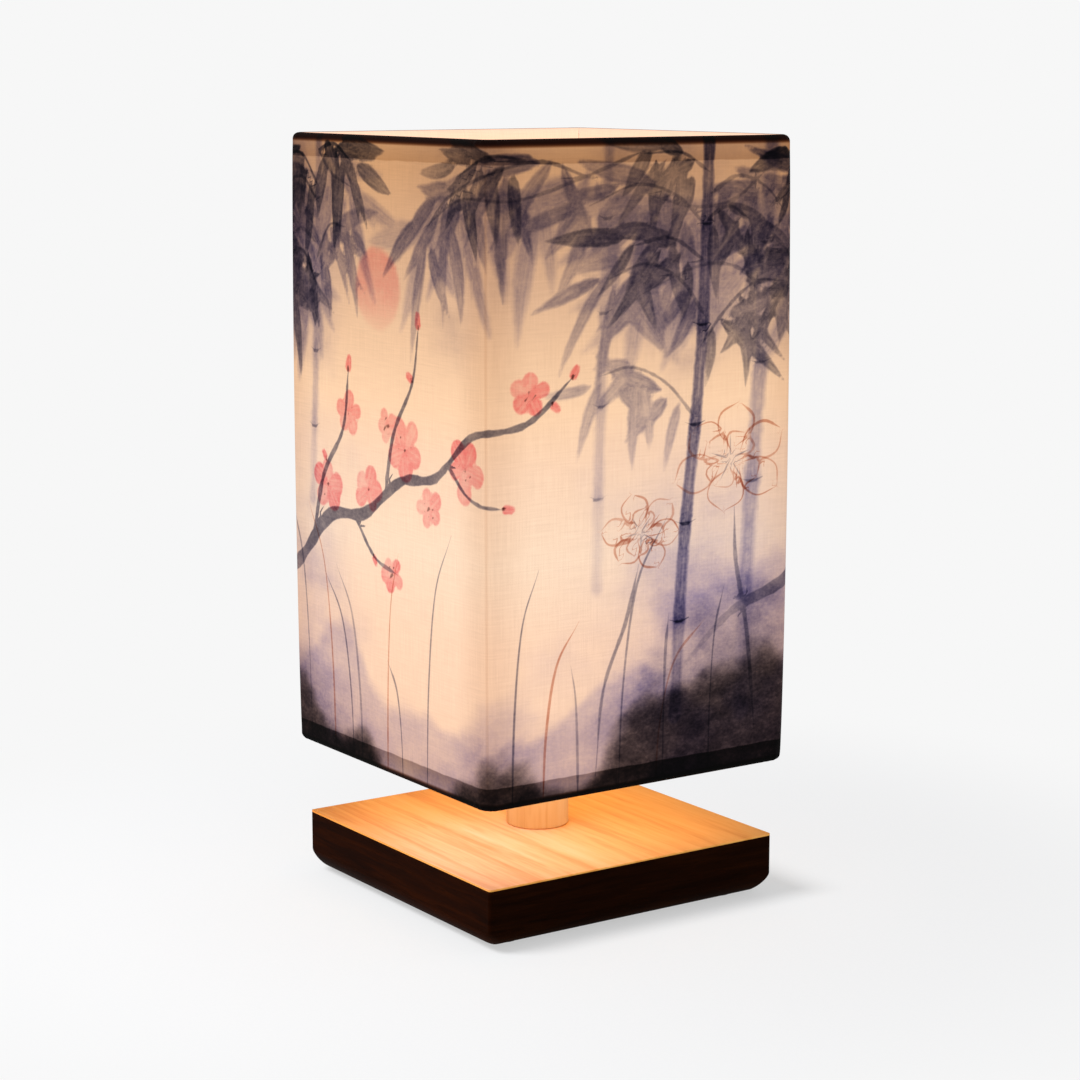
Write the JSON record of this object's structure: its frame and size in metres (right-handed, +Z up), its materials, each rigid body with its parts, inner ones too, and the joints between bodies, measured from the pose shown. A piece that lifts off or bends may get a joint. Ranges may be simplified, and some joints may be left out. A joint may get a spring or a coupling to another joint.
{
  "type": "japanese table lamp",
  "caption": "Small table lamp: a tall square cloth shade with a rolled hem on a wire frame, over a screw-in bulb and holder on a short wooden post and square wooden base.",
  "frame": {"origin": "centre of the footprint, on the table, under the middle of the base", "axes": "+Z up; -Y towards the front, the wider face in the picture; +X to the right seen from the front; +Y towards the cord inlet"},
  "size_m": [0.127, 0.127, 0.2692],
  "materials": {
    "stained_wood": "near-black brown stain under satin lacquer",
    "veneer": "light straight-grained veneer, satin lacquer",
    "turned_wood": "turned light wood, satin lacquer",
    "felt": "pressed felt",
    "zinc_steel": "zinc-plated steel",
    "spring_steel": "bright spring wire",
    "brass_parts": "bright brass",
    "bush_plastic": "moulded black plastic",
    "holder_plastic": "moulded ivory plastic",
    "core_ceramic": "pressed steatite",
    "printed_cloth": "cream cloth with an ink-wash print, lit from behind",
    "liner_sheet": "translucent white styrene sheet",
    "frame_wire": "white epoxy-coated wire",
    "nickel_cap": "nickel-plated",
    "bulb_plastic": "moulded white plastic",
    "board_aluminium": "white-coated aluminium board",
    "opal_globe": "opal polycarbonate, lit warm white"
  },
  "bodies": {
    "lamp_base": {"base_block": "stained_wood", "base_veneer": "veneer", "foot_pad_1": "felt", "foot_pad_2": "felt", "foot_pad_3": "felt", "foot_pad_4": "felt", "post": "turned_wood", "threaded_tube": "zinc_steel", "tube_washer": "zinc_steel", "tube_nut": "brass_parts", "cord_bush": "bush_plastic", "holder_cap": "holder_plastic", "grub_screw": "zinc_steel", "holder_shell": "holder_plastic", "holder_core": "core_ceramic", "screw_shell": "brass_parts", "contact_spring": "spring_steel", "centre_strip": "brass_parts", "side_strip": "brass_parts", "terminal_screw_1": "zinc_steel", "terminal_screw_2": "zinc_steel"},
    "shade": {"shade_fabric": "printed_cloth", "shade_liner": "liner_sheet", "top_wire": "frame_wire", "bottom_wire": "frame_wire", "spider_arm_1": "frame_wire", "spider_arm_2": "frame_wire", "spider_arm_3": "frame_wire", "spider_arm_4": "frame_wire", "fitter_ring": "frame_wire"},
    "shade_ring": {"shade_ring": "holder_plastic"},
    "centre_contact": {"contact_plunger": "brass_parts"},
    "bulb_cap": {"bulb_screw_cap": "nickel_cap", "bulb_insulator": "bush_plastic", "bulb_tip": "nickel_cap"},
    "bulb": {"bulb_housing": "bulb_plastic", "led_board": "board_aluminium", "bulb_globe": "opal_globe"}
  },
  "joints": [
    {"name": "shade_swivel", "type": "hinge", "parent": "lamp_base", "child": "shade", "pos_m": [0, 0, 0.0774], "axis": [0, 0, 1], "continuous": true},
    {"name": "shade_ring_turn", "type": "hinge", "parent": "lamp_base", "child": "shade_ring", "pos_m": [0, 0, 0.0791], "axis": [0, 0, 1], "continuous": true},
    {"name": "bulb_rise", "type": "slide", "parent": "lamp_base", "child": "bulb_cap", "axis": [0, 0, 1], "range_m": [0, 0.01452]},
    {"name": "bulb_turn", "type": "hinge", "parent": "bulb_cap", "child": "bulb", "pos_m": [0, 0, 0.1055], "axis": [0, 0, 1], "range_deg": [0, 1440]},
    {"name": "contact_press", "type": "slide", "parent": "lamp_base", "child": "centre_contact", "axis": [0, 0, 1], "range_m": [-0.001, 0], "stiffness_N_per_m": 600, "springref_m": 0.001, "deforming": ["contact_spring"]}
  ],
  "couplings": [
    {"joint": "bulb_rise", "follows": "bulb_turn", "m_per_rad": 0.00057757}
  ]
}
